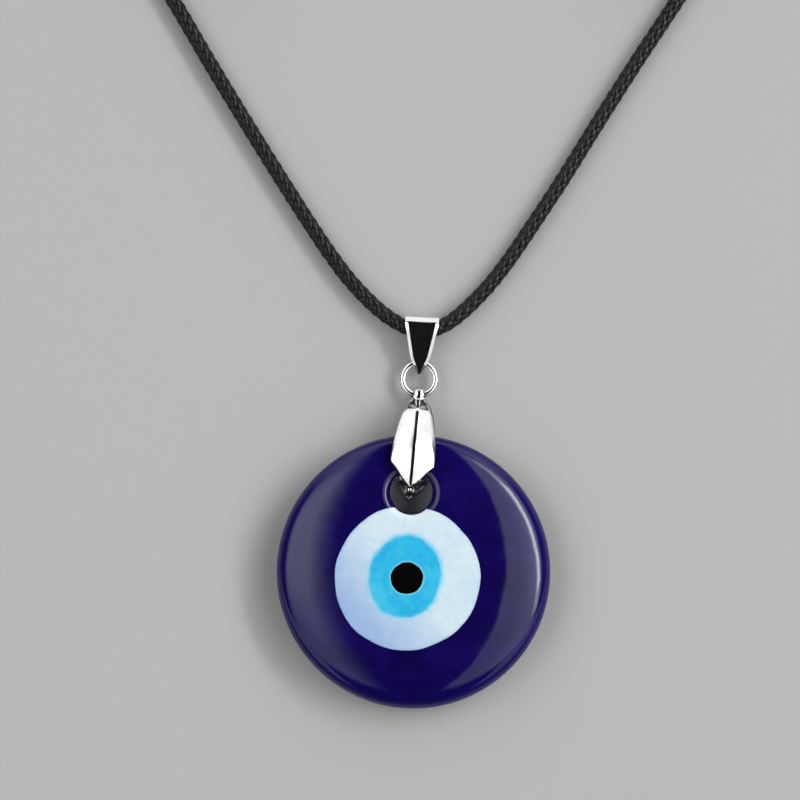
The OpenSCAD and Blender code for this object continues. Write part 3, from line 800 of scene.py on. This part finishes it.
# ---------------------------------------------------------------- the bail
def make_bail():
    """A tapered sheet folded over the cord, with bevelled long edges."""
    roll, seat, thick = 1.16 + 0.25, 0.46 + 0.25, 0.25
    low = np.array([-3.86, -0.3])
    d = np.linalg.norm(low)
    base = math.atan2(low[1], low[0])
    off = math.acos((roll - seat) / d)
    # the outside line, from the nose's front over the roll to the nose's back
    def arc(c, r, a0, a1, n):
        return [(c[0] + r * math.cos(a0 + (a1 - a0) * i / n), c[1] + r * math.sin(a0 + (a1 - a0) * i / n)) for i in range(n + 1)]
    up, down = base - off, base + off
    if math.sin(up) < math.sin(down):
        up, down = down, up
    # up is the angle of the front tangent, down that of the back one
    up_a, down_a = math.atan2(math.sin(up), math.cos(up)), math.atan2(math.sin(down), math.cos(down))
    nose = (-5.1, low[1])
    front = [(nose[0], nose[1] + 0.10), (nose[0] + 0.16, nose[1] + 0.24)]
    q = low + seat * np.array([math.cos(up_a), math.sin(up_a)])
    front += [tuple(np.array(front[-1]) + (q - np.array(front[-1])) * k / 4) for k in range(1, 4)]
    top = arc((0, 0), roll, up_a, math.radians(57), 12)
    brow = top[-1]
    top += [(brow[0] + (1.34 - brow[0]) * k / 6, brow[1] + (0.67 - brow[1]) * k / 6) for k in range(1, 7)]
    top += [(1.385, 0.60), (1.405, 0.50), (1.41, 0.38), (1.411, 0.2)]
    top += arc((0, 0), roll, 0, down_a if down_a < 0 else down_a - 2 * math.pi, 26)
    back_q = low + seat * np.array([math.cos(down_a), math.sin(down_a)])
    straight = [tuple(q + (np.array(top[0]) - q) * k / 14) for k in range(0, 14)]
    straight_b = [tuple(np.array(top[-1]) + (back_q - np.array(top[-1])) * k / 14) for k in range(1, 15)]
    tail = [(nose[0] + 0.16, nose[1] - 0.24), (nose[0], nose[1] - 0.10)]
    mid = [tuple(back_q + (np.array(tail[0]) - back_q) * k / 4) for k in range(1, 4)]
    line = np.array(front + straight + top + straight_b + mid + tail)
    n = len(line)
    tan = np.gradient(line, axis=0)
    tan /= np.linalg.norm(tan, axis=1)[:, None]
    nor = np.stack([-tan[:, 1], tan[:, 0]], 1)
    if nor[n // 2] @ line[n // 2] < 0:
        nor = -nor
    rows = []
    for i in range(n):
        y = line[i][0]
        half = float(np.interp(y, [-5.1, -4.2, -3.5, -3.1, 0.6, 3], [0.10, 0.62, 0.95, 1.10, 1.85, 1.85]))
        k = min(0.32, 0.52 * half)
        kk = 0.38 * k * (1 - min(1.0, max(0.0, (y - 0.62) / 0.16)))
        inner = thick - 0.09 * max(0.0, 1 - abs(y + 3.95) / 0.95)
        if y < low[0] - 0.1:
            inner = min(inner, abs(line[i][1] - low[1]) - 0.004)
        prof = [(-half, -inner * 0.80), (-half, -kk), (-half + k * 0.5, -kk * 0.5), (-half + k, 0), (0, 0.0), (half - k, 0), (half - k * 0.5, -kk * 0.5), (half, -kk), (half, -inner * 0.80), (half - 0.05, -inner), (0, -inner), (-half + 0.05, -inner)]
        for x, h in prof:
            p = line[i] + nor[i] * h
            rows.append((x, p[0], p[1]))
    wide = 12
    c, s = math.cos(BAIL_LEAN), math.sin(BAIL_LEAN)
    verts = [(BAIL[0] + c * x - s * y, BAIL[1] + s * x + c * y, BAIL[2] + z) for x, y, z in rows]
    faces = grid_faces(n, wide, False, True)
    faces.append(tuple(range(wide)))
    faces.append(tuple((n - 1) * wide + k for k in range(wide))[::-1])
    ob = piece("tapered_bail", verts, faces, "bail", SILVER)
    outward(ob)
    ob.data.set_sharp_from_angle(angle=math.radians(17))
    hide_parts("bail")
    return ob


bail = make_bail()


# ---------------------------------------------------------------- turned and cast pieces: the CAD shape with its edges eased
def eased(node_name, name, width, segments=3, mat=None, angle=32):
    src = frame["nodes"][node_name]
    me = src.data.copy()
    me.name = name
    for a in ("custom_normal",):
        if a in me.attributes:
            me.attributes.remove(me.attributes[a])
    bm = bmesh.new()
    bm.from_mesh(me)
    bmesh.ops.remove_doubles(bm, verts=bm.verts, dist=2e-7)
    bmesh.ops.dissolve_limit(bm, angle_limit=math.radians(1.0), verts=bm.verts, edges=bm.edges)
    bm.to_mesh(me)
    bm.free()
    ob = bpy.data.objects.new(name, me)
    bpy.context.scene.collection.objects.link(ob)
    ob.data.materials.clear()
    ob.data.materials.append(mat or SILVER)
    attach(ob, src["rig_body"])
    mod = ob.modifiers.new("bevel", "BEVEL")
    mod.width = width * MM
    mod.segments = segments
    mod.limit_method = "ANGLE"
    mod.angle_limit = math.radians(angle)
    mod.harden_normals = False
    mod.use_clamp_overlap = True
    me.polygons.foreach_set("use_smooth", [True] * len(me.polygons))
    dg = bpy.context.evaluated_depsgraph_get()
    done = bpy.data.meshes.new_from_object(ob.evaluated_get(dg))
    ob.modifiers.clear()
    ob.data = done
    done.name = name
    done.set_sharp_from_angle(angle=math.radians(40))
    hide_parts(node_name)
    return ob


for node_name, name, width in (("end_cap_left", "left_end_cap", 0.16), ("end_cap_right", "right_end_cap", 0.16), ("clasp_body", "clasp_hook_body", 0.22),
                               ("clasp_lever", "clasp_thumb_lever", 0.12), ("end_drop", "chain_end_drop", 0.08)):
    eased(node_name, name, width)

for key in ("jump_ring", "clasp_ring", "chain_ring", "extender_chain", "clasp_rivet", "clasp_spring"):
    ob = frame["nodes"][key]
    mat = STEEL if key in ("clasp_rivet", "clasp_spring") else SILVER
    for sl in ob.material_slots:
        sl.material = mat


# ---------------------------------------------------------------- floor and light
def make_floor():
    me = bpy.data.meshes.new("floor")
    s = 3.0
    me.from_pydata([(-s, -s, 0), (s, -s, 0), (s, s, 0), (-s, s, 0)], [], [(0, 1, 2, 3)])
    ob = bpy.data.objects.new("floor", me)
    bpy.context.scene.collection.objects.link(ob)
    m, nt, p = material("pale_floor")
    p.inputs["Base Color"].default_value = (0.475, 0.475, 0.465, 1)
    p.inputs["Roughness"].default_value = 0.9
    p.inputs["Specular IOR Level"].default_value = 0.1
    me.materials.append(m)


def area(name, place, target, size_x, size_y, power, colour=(1, 1, 1)):
    li = bpy.data.lights.new(name, "AREA")
    li.shape = "RECTANGLE"
    li.size, li.size_y = size_x, size_y
    li.energy = power
    li.color = colour
    ob = bpy.data.objects.new(name, li)
    ob.location = place
    ob.rotation_euler = (Vector(target) - Vector(place)).to_track_quat("-Z", "Y").to_euler()
    bpy.context.scene.collection.objects.link(ob)
    ob.visible_camera = False
    return ob


make_floor()
key = area("key_strip", (0.976, 0.28, 0.80), (0.976, 0.28, 0.0), 0.24, 0.96, 5.4)
key.rotation_euler = (0, 0, math.radians(19.3))


def studio():
    """A dark ceiling between two long soft boxes, and a pale wall behind the top of the object."""
    world = bpy.data.worlds.new("studio")
    bpy.context.scene.world = world
    world.use_nodes = True
    nt = world.node_tree
    nt.nodes.clear()
    out = nt.nodes.new("ShaderNodeOutputWorld")
    bg = nt.nodes.new("ShaderNodeBackground")
    link(nt, bg.outputs[0], out.inputs[0])
    sep = nt.nodes.new("ShaderNodeSeparateXYZ")
    link(nt, nt.nodes.new("ShaderNodeTexCoord").outputs["Generated"], sep.inputs[0])
    x, y, z = sep.outputs
    up = math_node(nt, "MAXIMUM", z, 0.02)
    u, v = math_node(nt, "DIVIDE", x, up), math_node(nt, "DIVIDE", y, up)

    def s(value, a, b, c=0.0, d=1.0):
        r = nt.nodes.new("ShaderNodeMapRange")
        r.interpolation_type = "SMOOTHSTEP"
        for i, k in enumerate((a, b, c, d)):
            r.inputs[1 + i].default_value = k
        link(nt, value, r.inputs[0])
        return r.outputs[0]

    def times(*parts):
        t = parts[0]
        for p in parts[1:]:
            t = math_node(nt, "MULTIPLY", t, p)
        return t

    right = math_node(nt, "SUBTRACT", u, math_node(nt, "MULTIPLY", v, 0.12))
    left = math_node(nt, "SUBTRACT", math_node(nt, "MULTIPLY", u, -1.0), math_node(nt, "MULTIPLY", v, 0.10))
    ends = times(s(v, -1.15, -0.85), s(v, 3.2, 3.8, 1.0, 0.0))
    box_r = times(s(right, 0.345, 0.375), s(u, 1.5, 2.2, 1.0, 0.0), ends, s(v, -0.6, 0.1, 1.0, 1.7), s(right, 0.4, 1.1, 0.85, 1.6), s(v, 0.9, 1.6, 1.0, 0.6))
    box_l = times(s(left, 0.22, 0.58), s(left, 1.2, 2.2, 1.0, 0.0), ends, s(v, -0.6, 0.1, 0.95, 2.3), s(v, 0.5, 1.3, 1.0, 0.5))
    low = times(s(math_node(nt, "ABSOLUTE", u), 0.95, 1.05), s(v, -2.3, -2.0), s(v, -0.9, -0.8, 0.8, 0.0))
    outer = math_node(nt, "ADD", u, math_node(nt, "MULTIPLY", v, 0.35))
    strip = times(s(outer, 0.90, 1.2), s(outer, 1.40, 1.7, 1.0, 0.0), s(v, -0.8, -0.3), s(v, 1.0, 1.6, 6.0, 0.0))
    strip = math_node(nt, "MAXIMUM", strip, low)
    flat = math_node(nt, "SQRT", math_node(nt, "ADD", times(x, x), times(y, y)))
    wall = times(s(z, 0.30, 0.34, 1.0, 0.0), s(math_node(nt, "DIVIDE", y, math_node(nt, "MAXIMUM", flat, 0.01)), 0.55, 0.8, 0.12, 1.0))
    wall = math_node(nt, "MAXIMUM", wall, strip)
    total = math_node(nt, "MAXIMUM", math_node(nt, "MAXIMUM", box_r, box_l), wall)
    link(nt, math_node(nt, "MAXIMUM", total, 0.008), bg.inputs[1])
    bg.inputs[0].default_value = (1, 1, 1, 1)


studio()

print("cord length mm", float(np.linalg.norm(np.diff(LINE, axis=0), axis=1).sum()))
